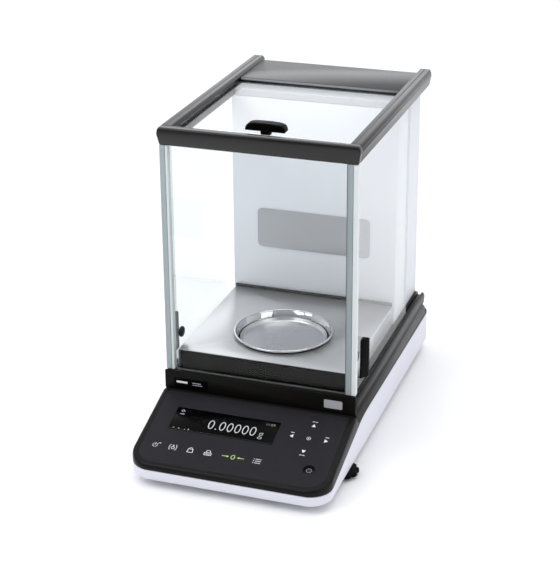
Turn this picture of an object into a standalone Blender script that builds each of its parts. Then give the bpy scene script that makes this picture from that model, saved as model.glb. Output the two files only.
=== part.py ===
"""Semi-micro analytical balance with a glass draught shield.

Metres, +Z up, front facing -Y, +X on the right as the user sees it. The origin is on the table,
under the middle of the base. Every sub-part is one closed solid in its own object.
"""

import math

import bmesh
import bpy
from mathutils import Matrix, Vector

# ------------------------------------------------------------------ driving dimensions (metres)
GAP = 0.0003            # left between pieces that touch
WALL = 0.0026           # moulded shell thickness
GLASS = 0.0030          # thickness of every pane

BASE_HALF_W = 0.1060
BASE_FRONT, BASE_REAR = -0.2055, 0.2055
BASE_BOTTOM = 0.0080    # underside of the housing above the table
FRONT_CORNER_R, REAR_CORNER_R = 0.024, 0.010
FLANGE_TOP = 0.0500     # shoulder of the black cover round the sides and the rear

PANEL_FRONT_Y, PANEL_FRONT_Z = -0.2030, 0.0270
PANEL_SLOPE = math.atan(0.3095)
FASCIA_Y, FASCIA_TOP = -0.1010, 0.0797

TRACK_TOP = 0.0760      # deck that carries the chamber base and the tower
TRACK_REAR = 0.1870     # rear end of the door tracks, the tower and the top rails
SILL_REAR = -0.0910

CHAMBER_FRONT, CHAMBER_REAR = -0.0888, 0.0862
FLOOR_Z = 0.1001        # top of the stainless floor plate
FLOOR_HALF_W = 0.0935
PAN_Y = -0.0190

DOOR_INNER_X = 0.0983
DOOR_FRONT, DOOR_REAR = -0.0897, 0.1125
DOOR_BOTTOM, DOOR_TOP = 0.0730, 0.3325

FRAME_BOTTOM, FRAME_RIDGE, FRAME_TOP = 0.3276, 0.3390, 0.3460
FRAME_HALF_W = 0.1056
BAR_FRONT, BAR_REAR = -0.0995, -0.0901
TOWER_HALF_W = 0.0950
TOWER_TOP = 0.3273
TOP_GLASS_Z = 0.3365    # underside of the sliding top pane
OVERALL_TOP = 0.3520    # top of the grip on the top door
GRIP_FRONT, GRIP_REAR, GRIP_OUTER_X = -0.0770, -0.0660, 0.1085
GRIP_Z = (0.0900, 0.1330)

FOOT_X, FOOT_Y = 0.0970, -0.1190
FOOT_WHEEL_R = 0.0165
REAR_FOOT_X, REAR_FOOT_Y = 0.0850, 0.1700

CAL_Y, CAL_Z, CAL_DROP = -0.0700, 0.0400, 0.0030    # calibration weight, parked, and its fall

# Keys on the control panel: name, across the panel, up the slope.
KEY_ROW_S = 0.0260
PAD_X, PAD_S, PAD_STEP = 0.0667, 0.0670, 0.0180
KEYS = [
    ("key_power", -0.0840, KEY_ROW_S),
    ("key_calibrate", -0.0650, KEY_ROW_S),
    ("key_unit", -0.0460, KEY_ROW_S),
    ("key_print", -0.0270, KEY_ROW_S),
    ("key_menu", 0.0250, KEY_ROW_S),
    ("key_up", PAD_X, PAD_S + PAD_STEP),
    ("key_left", PAD_X - PAD_STEP, PAD_S),
    ("key_ok", PAD_X, PAD_S),
    ("key_right", PAD_X + PAD_STEP, PAD_S),
    ("key_down", PAD_X, PAD_S - PAD_STEP),
]
TARE_X, TARE_HALF_L = -0.0003, 0.0060
KEY_R = 0.0062
DISPLAY_X, DISPLAY_S = (-0.0800, 0.0328), (0.0504, 0.0820)
LEVEL_X, LEVEL_S, LEVEL_R = 0.0794, KEY_ROW_S, 0.0062

# ------------------------------------------------------------------ scene, collections, materials
for old in list(bpy.data.objects):
    bpy.data.objects.remove(old, do_unlink=True)

PARTS = bpy.data.collections.new("analytical_balance")
CUTTERS = bpy.data.collections.new("cutters")
for collection in (PARTS, CUTTERS):
    bpy.context.scene.collection.children.link(collection)


def material(name, colour, roughness, metallic=0.0, alpha=1.0):
    made = bpy.data.materials.new(name)
    made.use_nodes = True
    shader = made.node_tree.nodes["Principled BSDF"]
    shader.inputs["Base Color"].default_value = (*colour, 1.0)
    shader.inputs["Roughness"].default_value = roughness
    shader.inputs["Metallic"].default_value = metallic
    shader.inputs["Alpha"].default_value = alpha
    return made


WHITE = material("white_plastic", (0.85, 0.85, 0.87), 0.45)
BLACK = material("black_plastic", (0.025, 0.024, 0.024), 0.38)
GREY = material("grey_plastic", (0.45, 0.45, 0.47), 0.5)
PANEL = material("panel_film", (0.055, 0.052, 0.062), 0.5)
CLEAR = material("clear_glass", (0.90, 0.97, 0.95), 0.02, alpha=0.25)
SMOKED = material("display_glass", (0.005, 0.005, 0.006), 0.08)
STEEL = material("brushed_steel", (0.60, 0.60, 0.60), 0.32, 1.0)
POLISHED = material("polished_steel", (0.75, 0.75, 0.75), 0.10, 1.0)
ALUMINIUM = material("aluminium", (0.62, 0.63, 0.65), 0.4, 1.0)
BRASS = material("brass", (0.70, 0.53, 0.25), 0.3, 1.0)
IRON = material("magnet_iron", (0.20, 0.20, 0.22), 0.5, 1.0)
BOARD = material("circuit_board", (0.03, 0.16, 0.08), 0.5)
RUBBER = material("rubber", (0.02, 0.02, 0.02), 0.8)


# ------------------------------------------------------------------ modelling helpers
def add_object(name, data, look, matrix=None, collection=PARTS):
    made = bpy.data.objects.new(name, data)
    made.matrix_world = matrix or Matrix.Identity(4)
    collection.objects.link(made)
    if look is not None:
        data.materials.clear()
        data.materials.append(look)
    return made


def axes(x_axis, y_axis, origin=(0, 0, 0)):
    """A frame whose local X and Y are the given directions."""
    x_axis, y_axis = Vector(x_axis), Vector(y_axis)
    turned = Matrix((x_axis, y_axis, x_axis.cross(y_axis))).transposed().to_4x4()
    return Matrix.Translation(Vector(origin)) @ turned


PLANES = {
    "XY": axes((1, 0, 0), (0, 1, 0)),
    "XZ": axes((1, 0, 0), (0, 0, 1)),
    "YZ": axes((0, 1, 0), (0, 0, 1)),
}
SLOPE_Y = (0, math.cos(PANEL_SLOPE), math.sin(PANEL_SLOPE))
PLANES["PANEL"] = axes((1, 0, 0), SLOPE_Y, (0, PANEL_FRONT_Y, PANEL_FRONT_Z))


def prism(name, look, plane, low, high, outline, holes=(), collection=PARTS):
    """A flat outline with round or square holes, extruded from low to high across its plane."""
    curve = bpy.data.curves.new(name, "CURVE")
    curve.dimensions = "2D"
    curve.fill_mode = "BOTH"
    curve.extrude = (high - low) / 2
    for loop in (outline, *holes):
        spline = curve.splines.new("POLY")
        spline.points.add(len(loop) - 1)
        spline.use_cyclic_u = True
        for point, (u, v) in zip(spline.points, loop):
            point.co = (u, v, 0, 1)
    frame = PLANES[plane].copy()
    middle = (high + low) / 2
    # The XZ frame's own third axis is -Y, so a distance along +Y is measured against it.
    frame = frame @ Matrix.Translation((0, 0, -middle if plane == "XZ" else middle))
    drawn = add_object(name, curve, None, frame, collection)
    bpy.context.view_layer.update()
    graph = bpy.context.evaluated_depsgraph_get()
    mesh = bpy.data.meshes.new_from_object(drawn.evaluated_get(graph))
    bpy.data.objects.remove(drawn, do_unlink=True)
    bpy.data.curves.remove(curve)
    shape = bmesh.new()
    shape.from_mesh(mesh)
    bmesh.ops.remove_doubles(shape, verts=shape.verts, dist=1e-7)
    bmesh.ops.recalc_face_normals(shape, faces=shape.faces)
    shape.to_mesh(mesh)
    shape.free()
    mesh.name = name
    return add_object(name, mesh, look, frame, collection)


def box(name, look, x, y, z, bevel=0.0, collection=PARTS):
    """A block between two values on each axis, its edges rounded by bevel."""
    shape = bmesh.new()
    bmesh.ops.create_cube(shape, size=1.0)
    sides = Vector((x[1] - x[0], y[1] - y[0], z[1] - z[0]))
    bmesh.ops.scale(shape, vec=sides, verts=shape.verts)
    mesh = bpy.data.meshes.new(name)
    shape.to_mesh(mesh)
    shape.free()
    middle = Vector((sum(x), sum(y), sum(z))) / 2
    made = add_object(name, mesh, look, Matrix.Translation(middle), collection)
    if bevel:
        rounding = made.modifiers.new("edges", "BEVEL")
        rounding.width = bevel
        rounding.segments = 2
    return made


def turned(name, look, profile, origin, steps=32, closed=False, frame=None, collection=PARTS):
    """A profile of (radius, height) pairs, its outer side going down, turned about the origin's Z."""
    count = len(profile)
    edges = [(i, i + 1) for i in range(count - 1)]
    if closed:
        edges.append((count - 1, 0))
    mesh = bpy.data.meshes.new(name)
    mesh.from_pydata([(radius, 0, height) for radius, height in profile], edges, [])
    made = add_object(name, mesh, look, (frame or Matrix.Translation(Vector(origin))), collection)
    screw = made.modifiers.new("turn", "SCREW")
    screw.steps = screw.render_steps = steps
    screw.use_merge_vertices = True
    screw.merge_threshold = 0.00001
    return made


def rod(name, look, radius, low, high, axis, centre, steps=24, collection=PARTS):
    """A solid cylinder from low to high along X, Y or Z through centre (the two other coordinates)."""
    shape = bmesh.new()
    bmesh.ops.create_cone(
        shape, cap_ends=True, segments=steps, radius1=radius, radius2=radius, depth=high - low
    )
    mesh = bpy.data.meshes.new(name)
    shape.to_mesh(mesh)
    shape.free()
    middle = (low + high) / 2
    place = {
        "X": (middle, centre[0], centre[1]),
        "Y": (centre[0], middle, centre[1]),
        "Z": (centre[0], centre[1], middle),
    }[axis]
    turn = {
        "X": Matrix.Rotation(math.pi / 2, 4, "Y"),
        "Y": Matrix.Rotation(-math.pi / 2, 4, "X"),
        "Z": Matrix.Identity(4),
    }[axis]
    return add_object(name, mesh, look, Matrix.Translation(Vector(place)) @ turn, collection)


def combine(target, tool, operation="DIFFERENCE"):
    """Cuts, joins or intersects target with tool, which becomes a hidden helper."""
    for owner in list(tool.users_collection):
        owner.objects.unlink(tool)
    CUTTERS.objects.link(tool)
    tool.hide_render = True
    tool.display_type = "WIRE"
    step = target.modifiers.new(tool.name, "BOOLEAN")
    step.operation = operation
    step.object = tool
    return target


def arc(cx, cy, radius, start, end, steps):
    """Points on a circle from start to end, in degrees."""
    turns = [math.radians(start + (end - start) * i / steps) for i in range(steps + 1)]
    return [(cx + radius * math.cos(t), cy + radius * math.sin(t)) for t in turns]


def rounded(x0, x1, y0, y1, low_r, high_r, steps=6):
    """A rectangle whose two corners at y0 have low_r and whose two at y1 have high_r."""
    return [
        *arc(x0 + low_r, y0 + low_r, low_r, 180, 270, steps),
        *arc(x1 - low_r, y0 + low_r, low_r, 270, 360, steps),
        *arc(x1 - high_r, y1 - high_r, high_r, 0, 90, steps),
        *arc(x0 + high_r, y1 - high_r, high_r, 90, 180, steps),
    ]


def rectangle(x0, x1, y0, y1):
    return [(x0, y0), (x1, y0), (x1, y1), (x0, y1)]


def circle(cx, cy, radius, steps=24):
    return arc(cx, cy, radius, 0, 360 - 360 / steps, steps - 1)


def stadium(cx, cy, half_length, radius, steps=10):
    return [
        *arc(cx + half_length, cy, radius, -90, 90, steps),
        *arc(cx - half_length, cy, radius, 90, 270, steps),
    ]


def both_sides(points):
    """A right-hand outline, top to bottom, closed by its mirror image on the left."""
    return points + [(-x, z) for x, z in reversed(points)]


# ------------------------------------------------------------------ base: housing and cover
# The parting line between the white housing and the black cover, seen from the side.
PARTING = [(-0.2055, 0.0200), (-0.1850, 0.0200), (-0.0800, 0.0460), (-0.0600, 0.0470), (0.2055, 0.0440)]


def base_plan(inset=0.0):
    half = BASE_HALF_W - inset
    return rounded(
        -half, half, BASE_FRONT + inset, BASE_REAR - inset, FRONT_CORNER_R - inset, REAR_CORNER_R - inset
    )


def panel_z(y):
    return PANEL_FRONT_Z + math.tan(PANEL_SLOPE) * (y - PANEL_FRONT_Y)


def side_block(name, profile):
    return prism(name, None, "YZ", -0.12, 0.12, profile, collection=CUTTERS)


def build_lower_housing():
    housing = prism("lower_housing", WHITE, "XY", BASE_BOTTOM, 0.055, base_plan())
    above = [(-0.22, PARTING[0][1]), *PARTING[1:-1], (0.22, PARTING[-1][1]), (0.22, 0.07), (-0.22, 0.07)]
    combine(housing, side_block("above_parting", above))
    inside = prism("housing_inside", None, "XY", BASE_BOTTOM + WALL, 0.07, base_plan(WALL))
    combine(housing, inside)
    for side, x in (("left", -FOOT_X), ("right", FOOT_X)):
        combine(housing, rod(f"{side}_stem_hole", None, 0.0048, 0.0, 0.02, "Z", (x, FOOT_Y)))
    combine(housing, box("jack_hole", None, (0.0552, 0.0668), (0.195, 0.215), (0.0192, 0.0308)))
    combine(housing, box("socket_hole", None, (-0.0623, -0.0497), (0.195, 0.215), (0.0197, 0.0313)))


def build_upper_cover():
    low = [(-0.2200, PARTING[0][1]), *PARTING[1:-1], (0.2200, PARTING[-1][1])]
    front_of_deck = FASCIA_Y + 0.0027
    profile = [
        (-0.2200, 0.0235),
        (BASE_FRONT, 0.0245),
        (PANEL_FRONT_Y, PANEL_FRONT_Z),
        (-0.0940, panel_z(-0.0940)),
        (-0.0940, FLANGE_TOP),
        (0.2200, FLANGE_TOP),
        *[(y, z + GAP) for y, z in reversed(low)],
    ]
    cover = prism("upper_cover", BLACK, "YZ", -0.12, 0.12, profile)
    combine(cover, box("deck_front", None, (-0.13, 0.13), (-0.0972, -0.0900), (0.0530, 0.10)))
    combine(cover, prism("cover_plan", None, "XY", 0.010, 0.090, base_plan()), "INTERSECT")
    # Deck with a door groove along each side, between an inner ridge and an outer lip.
    deck = both_sides(
        [
            (0.0953, TRACK_TOP),
            (0.0953, 0.0790),
            (0.0975, 0.0790),
            (0.0975, 0.0724),
            (0.1021, 0.0724),
            (0.1021, 0.0765),
            (0.1032, 0.0765),
            (0.1048, 0.0485),
        ]
    )
    combine(cover, prism("deck", None, "XZ", front_of_deck, TRACK_REAR, deck), "UNION")
    sill = box("sill", None, (-0.1029, 0.1029), (front_of_deck + 0.0003, SILL_REAR), (0.0710, FASCIA_TOP))
    combine(cover, sill, "UNION")
    # Hollow below the panel and the flange, parallel to the outside.
    hollow = prism("cover_hollow", None, "XY", 0.0, 0.090, base_plan(WALL))
    roof = [
        (-0.22, panel_z(-0.22) - 0.0030),
        (-0.1035, panel_z(-0.1035) - 0.0030),
        (-0.1035, FLANGE_TOP - WALL),
        (0.22, FLANGE_TOP - WALL),
        (0.22, 0.10),
        (-0.22, 0.10),
    ]
    combine(hollow, side_block("hollow_roof", roof))
    combine(cover, hollow)
    combine(cover, box("deck_hollow", None, (-0.0915, 0.0915), (-0.0957, 0.1845), (0.030, 0.0735)))
    recess = rounded(-0.0988, 0.0988, 0.0027, 0.1038, 0.0183, 0.0020)
    combine(cover, prism("panel_recess", None, "PANEL", -0.0018, 0.020, recess))
    opening = rounded(-0.0955, 0.0955, 0.0060, 0.1005, 0.0150, 0.0020)
    combine(cover, prism("panel_opening", None, "PANEL", -0.0100, 0.010, opening))
    combine(cover, rod("stem_hole", None, 0.0120, 0.070, 0.080, "Z", (0, PAN_Y)))


def build_fascia():
    trim = rounded(-0.1045, 0.1045, 0.0600, FASCIA_TOP, 0.0010, 0.0015, 2)
    prism("fascia_strip", BLACK, "XZ", FASCIA_Y, FASCIA_Y + 0.0024, trim)


# ------------------------------------------------------------------ control panel
def on_panel(name, look, low, high, outline, holes=()):
    return prism(name, look, "PANEL", low, high, outline, holes)


def build_control_panel():
    key_holes = [circle(x, s, KEY_R + GAP) for _, x, s in KEYS]
    holes = [
        *key_holes,
        stadium(TARE_X, KEY_ROW_S, TARE_HALF_L, KEY_R + GAP),
        rectangle(DISPLAY_X[0] - GAP, DISPLAY_X[1] + GAP, DISPLAY_S[0] - GAP, DISPLAY_S[1] + GAP),
        circle(LEVEL_X, LEVEL_S, LEVEL_R + GAP),
    ]
    plate = rounded(-0.0985, 0.0985, 0.0030, 0.1035, 0.0180, 0.0017)
    on_panel("control_plate", PANEL, -0.0015, 0.0, plate, holes)
    on_panel("display_window", SMOKED, -0.0014, -0.0001, rectangle(*DISPLAY_X, *DISPLAY_S))
    module = rectangle(DISPLAY_X[0] - 0.003, DISPLAY_X[1] + 0.003, DISPLAY_S[0] - 0.003, DISPLAY_S[1] + 0.003)
    on_panel("display_module", GREY, -0.0052, -0.0019, module)
    board = rectangle(-0.0940, 0.0940, 0.0120, 0.0960)
    on_panel("keypad_board", BOARD, -0.0072, -0.0056, board, [circle(LEVEL_X, LEVEL_S, 0.0068)])
    vial = [(0.0, -0.0002), (LEVEL_R - 0.0006, -0.0002), (LEVEL_R, -0.0008), (LEVEL_R, -0.0100), (0.0, -0.0100)]
    centre = PLANES["PANEL"] @ Matrix.Translation((LEVEL_X, LEVEL_S, 0))
    turned("level_vial", CLEAR, vial, None, 24, frame=centre)


def build_keys():
    profile = [
        (0.0, 0.0),
        (KEY_R, 0.0),
        (KEY_R, -0.0019),
        (KEY_R + 0.0010, -0.0019),
        (KEY_R + 0.0010, -0.0029),
        (0.0025, -0.0029),
        (0.0025, -0.0048),
        (0.0, -0.0048),
    ]
    for name, x, s in KEYS:
        centre = PLANES["PANEL"] @ Matrix.Translation((x, s, 0))
        turned(name, PANEL, profile, None, 24, frame=centre)
    tare = on_panel("key_tare", PANEL, -0.0030, 0.0, stadium(TARE_X, KEY_ROW_S, TARE_HALF_L, KEY_R))
    skirt = on_panel("tare_skirt", None, -0.0048, -0.0019, stadium(TARE_X, KEY_ROW_S, TARE_HALF_L, KEY_R + 0.001))
    combine(tare, skirt, "UNION")


# ------------------------------------------------------------------ weighing chamber
def build_chamber_floor():
    rear = CHAMBER_REAR - 0.0006
    base = box("chamber_base", BLACK, (-0.0903, 0.0903), (CHAMBER_FRONT, rear), (TRACK_TOP + GAP, 0.0988))
    inner_x, inner_y = (-0.0877, 0.0877), (CHAMBER_FRONT + WALL, rear - WALL)
    combine(base, box("base_hollow_low", None, inner_x, inner_y, (0.0700, 0.0835)))
    upper = box("base_hollow_high", None, inner_x, inner_y, (0.0825, 0.0962))
    combine(upper, rod("well_wall", None, 0.0530, 0.080, 0.099, "Z", (0, PAN_Y), 40))
    combine(base, upper)
    combine(base, rod("pan_well", None, 0.0505, 0.0860, 0.105, "Z", (0, PAN_Y), 40))
    combine(base, rod("well_hole", None, 0.0070, 0.080, 0.090, "Z", (0, PAN_Y)))

    sheet = 0.0010
    top, skirt_low = FLOOR_Z, 0.0796
    folded = [
        (FLOOR_HALF_W, top),
        (FLOOR_HALF_W, skirt_low),
        (FLOOR_HALF_W - sheet, skirt_low),
        (FLOOR_HALF_W - sheet, top - sheet),
    ]
    plate = prism("floor_plate", STEEL, "XZ", CHAMBER_FRONT - 0.0007, rear, both_sides(folded))
    combine(plate, rod("plate_hole", None, 0.0516, 0.09, 0.11, "Z", (0, PAN_Y), 40))
    box("floor_seal", RUBBER, (-0.0925, 0.0925), (rear - 0.0021, rear), (FLOOR_Z + GAP, FLOOR_Z + 0.0034))


def build_pan():
    ring = [
        (0.0531, 0.1045),
        (0.0537, 0.1040),
        (0.0487, 0.0972),
        (0.0484, 0.0863),
        (0.0474, 0.0863),
        (0.0476, 0.0976),
        (0.0525, 0.1042),
    ]
    turned("draft_ring", POLISHED, ring, (0, PAN_Y, 0), 48, closed=True)
    pan = [
        (0.0, 0.0935),
        (0.0440, 0.0935),
        (0.0462, 0.0974),
        (0.0466, 0.0970),
        (0.0446, 0.0923),
        (0.0, 0.0923),
    ]
    turned("weighing_pan", STEEL, pan, (0, PAN_Y, 0), 48)
    support = [(0.0, 0.0920), (0.0200, 0.0920), (0.0200, 0.0900), (0.0045, 0.0885), (0.0045, 0.0623), (0.0, 0.0623)]
    turned("pan_support", ALUMINIUM, support, (0, PAN_Y, 0), 24)


def build_tower():
    front = CHAMBER_REAR + 0.0030
    outline = rounded(-TOWER_HALF_W, TOWER_HALF_W, front, TRACK_REAR, 0.0005, 0.0060, 4)
    tower = prism("tower_housing", WHITE, "XY", TRACK_TOP + GAP, TOWER_TOP, outline)
    cap = box("tower_cap", None, (-0.0905, 0.0905), (0.1055, TRACK_REAR - 0.0002), (0.3265, 0.3357))
    combine(tower, cap, "UNION")
    inside = box("tower_inside", None, (-0.0924, 0.0924), (0.080, TRACK_REAR - WALL), (0.0790, 0.3247))
    combine(tower, inside)
    wall_y = (CHAMBER_REAR, CHAMBER_REAR + 0.0027)
    box("rear_wall", WHITE, (-0.0947, 0.0947), wall_y, (TRACK_TOP + GAP, TOWER_TOP))
    label = rounded(-0.0655, 0.0655, 0.1530, 0.1990, 0.006, 0.006, 4)
    prism("label_plate", ALUMINIUM, "XZ", CHAMBER_REAR - 0.0011, CHAMBER_REAR - GAP, label)
    box("rear_crossbar", GREY, (-0.0905, 0.0905), (CHAMBER_REAR, 0.1052), (TOWER_TOP + GAP, 0.3357))
    box("rear_top_cover", BLACK, (-0.0907, 0.0907), (0.1050, 0.1800), (0.3402, 0.3430))


# ------------------------------------------------------------------ glass cabinet
def build_top_frame():
    section = [
        (-0.0978, FRAME_BOTTOM),
        (BAR_FRONT, FRAME_RIDGE),
        (-0.0983, FRAME_TOP),
        (BAR_REAR, FRAME_TOP),
        (BAR_REAR, FRAME_BOTTOM),
    ]
    bar = prism("front_bar", BLACK, "YZ", -0.11, 0.11, section)
    ends = both_sides([(0.1034, FRAME_TOP), (FRAME_HALF_W, FRAME_RIDGE), (0.1032, FRAME_BOTTOM)])
    combine(bar, prism("bar_ends", None, "XZ", -0.11, -0.08, ends), "INTERSECT")
    # Each rail has a groove below for the side door and one inside for the top door.
    rail = [
        (0.0930, FRAME_TOP),
        (0.1034, FRAME_TOP),
        (FRAME_HALF_W, FRAME_RIDGE),
        (0.1032, FRAME_BOTTOM),
        (0.1020, FRAME_BOTTOM),
        (0.1020, 0.3332),
        (0.0976, 0.3332),
        (0.0976, FRAME_BOTTOM),
        (0.0910, FRAME_BOTTOM),
        (0.0910, 0.3358),
        (0.0950, 0.3358),
        (0.0950, 0.3402),
        (0.0910, 0.3402),
        (0.0910, 0.3430),
    ]
    for name, side in (("left_rail", -1), ("right_rail", 1)):
        prism(name, BLACK, "XZ", BAR_REAR + GAP, TRACK_REAR, [(side * x, z) for x, z in rail])


def mirrored(side, low, high):
    """The span low..high on the given side of the middle plane."""
    return (low, high) if side > 0 else (-high, -low)


def build_front_glazing():
    stand = FASCIA_TOP + GAP
    height = (stand, FRAME_BOTTOM - GAP)
    box("front_glass", CLEAR, (-0.0918, 0.0918), (-0.0972, -0.0972 + GLASS), height)
    for name, side in (("left_corner_post", -1), ("right_corner_post", 1)):
        box(name, CLEAR, mirrored(side, 0.0922, 0.1032), (-0.0983, SILL_REAR - GAP), height)


def build_side_doors():
    outer = DOOR_INNER_X + GLASS
    for name, side in (("left_door", -1), ("right_door", 1)):
        span = mirrored(side, DOOR_INNER_X, outer)
        box(f"{name}_glass", CLEAR, span, (DOOR_FRONT, DOOR_REAR), (DOOR_BOTTOM, DOOR_TOP))
        # The grip is a wedge in plan: thin at the front, thick where a fingertip pulls it open.
        root = outer + GAP
        wedge = [
            (root, GRIP_FRONT),
            (root + 0.0012, GRIP_FRONT),
            (GRIP_OUTER_X, GRIP_REAR - 0.0030),
            (GRIP_OUTER_X, GRIP_REAR),
            (root, GRIP_REAR),
        ]
        prism(f"{name}_handle", BLACK, "XY", *GRIP_Z, [(side * x, y) for x, y in wedge])
        shank = mirrored(side, DOOR_INNER_X - 0.0042, DOOR_INNER_X - GAP)
        knob_centre = ((GRIP_FRONT + GRIP_REAR) / 2, sum(GRIP_Z) / 2)
        rod(f"{name}_knob", BLACK, 0.0058, *shank, "X", knob_centre, 24)


def build_top_door():
    top = TOP_GLASS_Z + GLASS
    box("top_door_glass", CLEAR, (-0.0945, 0.0945), (BAR_REAR + 0.0005, 0.0980), (TOP_GLASS_Z, top))
    grip = both_sides([(0.0150, OVERALL_TOP), (0.0195, 0.3505), (0.0210, 0.3437)])
    handle = prism("top_door_handle", BLACK, "XZ", -0.0735, -0.0630, grip)
    stem = box("handle_stem", None, (-0.0050, 0.0050), (-0.0725, -0.0650), (top + GAP, 0.3450))
    combine(handle, stem, "UNION")


# ------------------------------------------------------------------ works inside the base
def build_weighing_cell():
    box("chassis_plate", ALUMINIUM, (-0.0880, 0.0880), (-0.0920, 0.1300), (0.0109, 0.0139))
    # One block of aluminium: slots through it leave two guides and a lever. The pan stands on its
    # front end, which also carries the two arms that the calibration weight is set down on.
    cell = box("force_cell", ALUMINIUM, (-0.0200, 0.0200), (-0.0270, 0.0750), (0.0142, 0.0620))
    slots = [
        ((-0.0110, 0.0600), (0.0560, 0.0574)),
        ((-0.0110, 0.0600), (0.0190, 0.0204)),
        ((-0.0116, -0.0102), (0.0190, 0.0440)),
        ((0.0020, 0.0760), (0.0470, 0.0484)),
        ((0.0080, 0.0500), (0.0320, 0.0334)),
    ]
    for index, (y, z) in enumerate(slots):
        combine(cell, box(f"cell_slot_{index}", None, (-0.03, 0.03), y, z))
    for name, side in (("left_arm", -1), ("right_arm", 1)):
        span = mirrored(side, 0.0162, 0.0198)
        combine(cell, box(name, None, span, (CAL_Y - 0.0100, -0.0260), (0.0253, 0.0295)), "UNION")
    saddle = rod("saddle", None, 0.0093, -0.03, 0.03, "X", (CAL_Y, CAL_Z - CAL_DROP), 32)
    combine(cell, saddle)
    arm = box("lever_arm", ALUMINIUM, (-0.0030, 0.0030), (0.0753, 0.1080), (0.0520, 0.0565))
    combine(arm, rod("coil", None, 0.0100, 0.0489, 0.0570, "Z", (0, 0.1080)), "UNION")
    rod("magnet_housing", IRON, 0.0220, 0.0142, 0.0486, "Z", (0, 0.1080), 32)


def build_calibration():
    shaft_z = CAL_Z - 0.0170
    rod("calibration_weight", BRASS, 0.0090, -0.0200, 0.0200, "X", (CAL_Y, CAL_Z), 24)
    shaft = rod("lift_cam", IRON, 0.0018, -0.0280, 0.0400, "X", (CAL_Y, shaft_z), 16)
    for index, x in enumerate((-0.0120, 0.0120)):
        centre = (CAL_Y, shaft_z + CAL_DROP / 2)
        disc = rod(f"eccentric_{index}", None, 0.0062, x - 0.003, x + 0.003, "X", centre, 20)
        combine(shaft, disc, "UNION")
    rod("calibration_motor", IRON, 0.0086, 0.0403, 0.0680, "X", (CAL_Y, shaft_z), 24)


def build_electronics():
    box("main_board", BOARD, (-0.0800, 0.0800), (0.1340, 0.1880), (0.0150, 0.0166))
    jack = box("power_jack", BLACK, (0.0555, 0.0665), (0.1925, BASE_REAR), (0.0195, 0.0305))
    combine(jack, rod("jack_bore", None, 0.0034, 0.1960, 0.2100, "Y", (0.0610, 0.0250), 16))
    socket = box("data_socket", STEEL, (-0.0620, -0.0500), (0.1900, BASE_REAR), (0.0200, 0.0310))
    combine(socket, box("socket_slot", None, (-0.0608, -0.0512), (0.1950, 0.2100), (0.0212, 0.0298)))


# ------------------------------------------------------------------ feet
def build_feet():
    for name, side in (("left_foot", -1), ("right_foot", 1)):
        place = (side * FOOT_X, FOOT_Y, 0)
        pad = [(0.0, 0.0022), (0.0090, 0.0022), (0.0105, 0.0010), (0.0105, 0.0), (0.0, 0.0)]
        turned(f"{name}_pad", RUBBER, pad, place, 24)
        wheel = [
            (0.0, 0.0300),
            (0.0034, 0.0300),
            (0.0040, 0.0294),
            (0.0040, 0.0075),
            (FOOT_WHEEL_R - 0.0008, 0.0075),
            (FOOT_WHEEL_R, 0.0067),
            (FOOT_WHEEL_R, 0.0033),
            (FOOT_WHEEL_R - 0.0008, 0.0025),
            (0.0, 0.0025),
        ]
        turned(f"{name}_wheel", BLACK, wheel, place, 36)
        foot = [(0.0, 0.0077), (0.0110, 0.0077), (0.0095, 0.0), (0.0, 0.0)]
        turned(f"rear_{name}", RUBBER, foot, (side * REAR_FOOT_X, REAR_FOOT_Y, 0), 24)


build_lower_housing()
build_upper_cover()
build_fascia()
build_control_panel()
build_keys()
build_chamber_floor()
build_pan()
build_tower()
build_top_frame()
build_front_glazing()
build_side_doors()
build_top_door()
build_weighing_cell()
build_calibration()
build_electronics()
build_feet()

for piece in PARTS.objects:
    if any(step.type == "SCREW" for step in piece.modifiers) or "knob" in piece.name:
        piece.data.shade_smooth()
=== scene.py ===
"""Looks of the analytical balance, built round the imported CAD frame. Metres, +Z up, front at -Y."""

import math

import bmesh
import bpy
from mathutils import Matrix, Vector


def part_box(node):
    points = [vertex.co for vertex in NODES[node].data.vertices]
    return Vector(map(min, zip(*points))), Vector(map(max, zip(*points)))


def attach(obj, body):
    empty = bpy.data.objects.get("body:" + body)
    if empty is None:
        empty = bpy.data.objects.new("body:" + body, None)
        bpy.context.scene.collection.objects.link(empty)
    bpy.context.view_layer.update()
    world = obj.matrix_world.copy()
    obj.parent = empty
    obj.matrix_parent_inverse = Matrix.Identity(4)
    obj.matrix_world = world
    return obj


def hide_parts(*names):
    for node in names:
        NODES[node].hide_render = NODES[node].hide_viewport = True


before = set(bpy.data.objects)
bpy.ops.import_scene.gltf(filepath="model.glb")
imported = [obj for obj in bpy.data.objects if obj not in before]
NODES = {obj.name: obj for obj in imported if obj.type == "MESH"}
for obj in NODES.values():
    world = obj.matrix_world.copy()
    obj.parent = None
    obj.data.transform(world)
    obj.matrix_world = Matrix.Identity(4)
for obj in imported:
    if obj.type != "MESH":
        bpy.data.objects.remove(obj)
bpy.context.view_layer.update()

# ------------------------------------------------------------------ sizes shared with the frame
WALL, GAP = 0.0026, 0.0003
HALF_W, FRONT, REAR = 0.1060, -0.2055, 0.2055
FRONT_R, REAR_R = 0.024, 0.010
FLANGE_LOW, FLANGE_TOP, FLANGE_FRONT = 0.0482, 0.0500, -0.0960
TRACK_REAR = 0.1870
COVER_INSET = 0.0036    # from the outline of the base to the cover's flat top
SLOPE_END = -0.1015     # where the panel's slope ends and the flank falls to the flange
FLANK_FALL = 1.25       # drop of the flank per unit of depth
PANEL_Y, PANEL_Z = -0.2030, 0.0270
SLOPE = math.atan(0.3095)
FASCIA_Y = -0.1010
PAN_Y = -0.0190
PARTING = [(-0.2200, 0.0200), (-0.1850, 0.0200), (-0.0800, 0.0460), (-0.0600, 0.0470), (0.2200, 0.0440)]


def centre_of(name):
    low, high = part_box(name)
    return (Vector(low) + Vector(high)) / 2


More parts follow.
